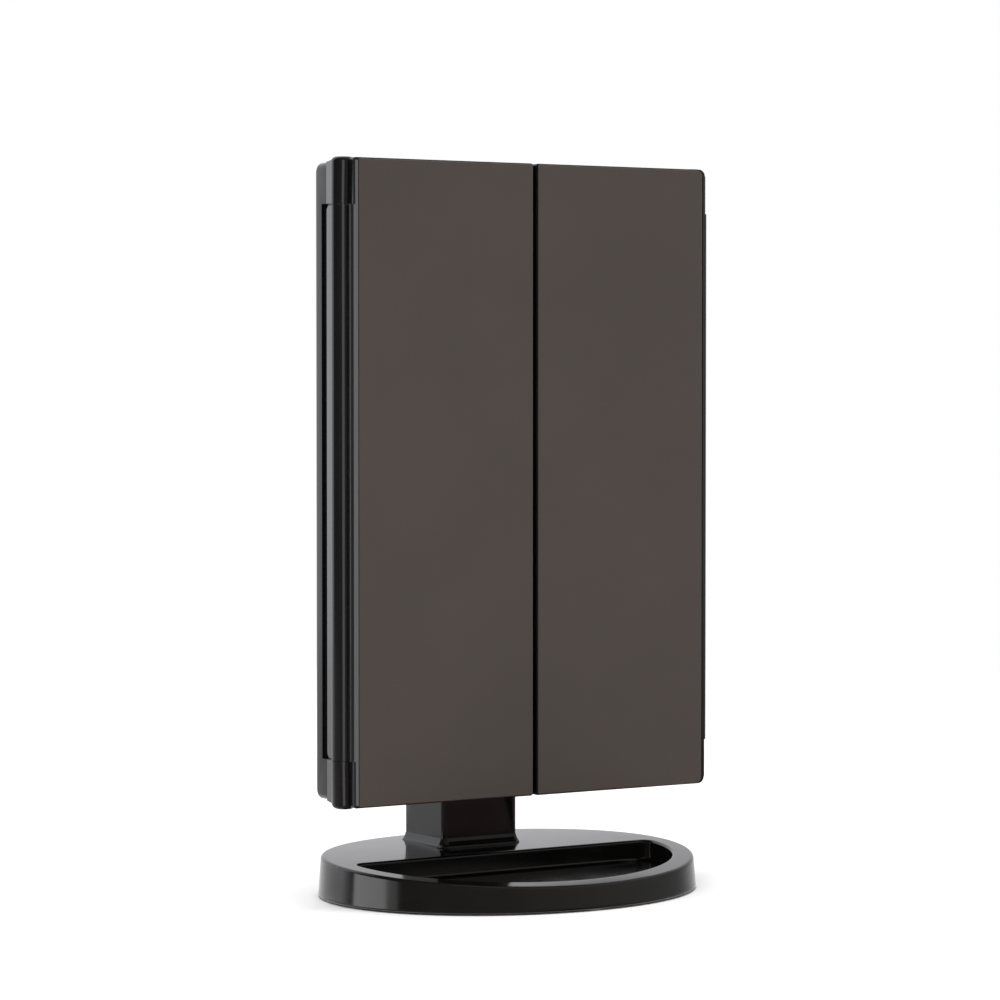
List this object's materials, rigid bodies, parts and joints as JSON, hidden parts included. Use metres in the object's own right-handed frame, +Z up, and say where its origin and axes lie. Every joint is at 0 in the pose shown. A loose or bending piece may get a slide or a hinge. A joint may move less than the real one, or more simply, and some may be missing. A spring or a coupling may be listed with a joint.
{
  "type": "lighted vanity mirror",
  "caption": "Folding table mirror: two hinged wings close over a lit centre glass in a case that tilts on a column over an oval weighted base with a tray.",
  "frame": {"origin": "on the table under the middle of the oval base", "axes": "+Z up; -Y is the front, towards the user and the outer faces of the folded wings; +X is to the right for someone looking at the front"},
  "size_m": [0.1714, 0.1288, 0.286],
  "materials": {
    "case_plastic": "semi-gloss black moulded plastic",
    "base_plastic": "semi-gloss black moulded plastic, polished on top",
    "panel_plastic": "satin dark warm grey",
    "ballast_steel": "plain steel plate",
    "rubber": "matte black",
    "plated_steel": "zinc plated",
    "mirror_glass": "silvered glass",
    "foam_tape": "grey foam",
    "frosted_acrylic": "frosted white",
    "led_board": "white solder mask",
    "led_lamp": "yellow phosphor in a white package",
    "circuit_board": "green solder mask",
    "copper": "bare copper foil",
    "nickel": "nickel plated",
    "cell_sleeve": "printed sleeve, plain",
    "wire_sleeve": "red insulation",
    "switch_plastic": "off-white"
  },
  "bodies": {
    "stand": {"base_shell": "base_plastic", "base_plate": "base_plastic", "base_weight": "ballast_steel", "base_feet": "rubber", "base_screws": "plated_steel", "column_shell": "case_plastic", "column_rear_cover": "case_plastic", "column_screws": "plated_steel", "rear_cover_screws": "plated_steel", "tilt_pin": "plated_steel", "tilt_pin_caps": "case_plastic"},
    "mirror_head": {"centre_frame": "case_plastic", "back_cover": "case_plastic", "back_cover_screws": "plated_steel", "centre_mirror": "mirror_glass", "centre_mirror_tape": "foam_tape", "left_diffuser": "frosted_acrylic", "right_diffuser": "frosted_acrylic", "left_led_board": "led_board", "right_led_board": "led_board", "left_leds": "led_lamp", "right_leds": "led_lamp", "control_board": "circuit_board", "board_screws": "plated_steel", "touch_electrode": "copper", "usb_socket": "nickel", "switch_housing": "case_plastic", "battery_tray": "case_plastic", "batteries": "cell_sleeve", "battery_contacts": "nickel", "wiring": "wire_sleeve", "tilt_bracket": "case_plastic", "bracket_screws": "plated_steel", "friction_washers": "plated_steel"},
    "battery_cover": {"battery_cover": "case_plastic"},
    "power_switch": {"switch_slider": "switch_plastic"},
    "left_wing": {"left_wing_frame": "case_plastic", "left_wing_cover": "panel_plastic", "left_upper_mirror": "mirror_glass", "left_lower_mirror": "mirror_glass", "left_mirror_tape": "foam_tape", "left_hinge_pins": "plated_steel"},
    "right_wing": {"right_wing_frame": "case_plastic", "right_wing_cover": "panel_plastic", "right_mirror": "mirror_glass", "right_mirror_tape": "foam_tape", "right_hinge_pins": "plated_steel"}
  },
  "joints": [
    {"name": "head_tilt", "type": "hinge", "parent": "stand", "child": "mirror_head", "pos_m": [0, 0.0357, 0.088], "axis": [1, 0, 0], "range_deg": [-90, 6]},
    {"name": "left_wing_hinge", "type": "hinge", "parent": "mirror_head", "child": "left_wing", "pos_m": [-0.081, -0.01, 0.1625], "axis": [0, 0, -1], "range_deg": [0, 180]},
    {"name": "right_wing_hinge", "type": "hinge", "parent": "mirror_head", "child": "right_wing", "pos_m": [0.081, -0.01, 0.1625], "axis": [0, 0, 1], "range_deg": [0, 180]},
    {"name": "battery_cover_release", "type": "slide", "parent": "mirror_head", "child": "battery_cover", "axis": [0, 1, 0], "range_m": [0, 0.03]},
    {"name": "power_switch_slide", "type": "slide", "parent": "mirror_head", "child": "power_switch", "axis": [1, 0, 0], "range_m": [0, 0.0025]}
  ]
}
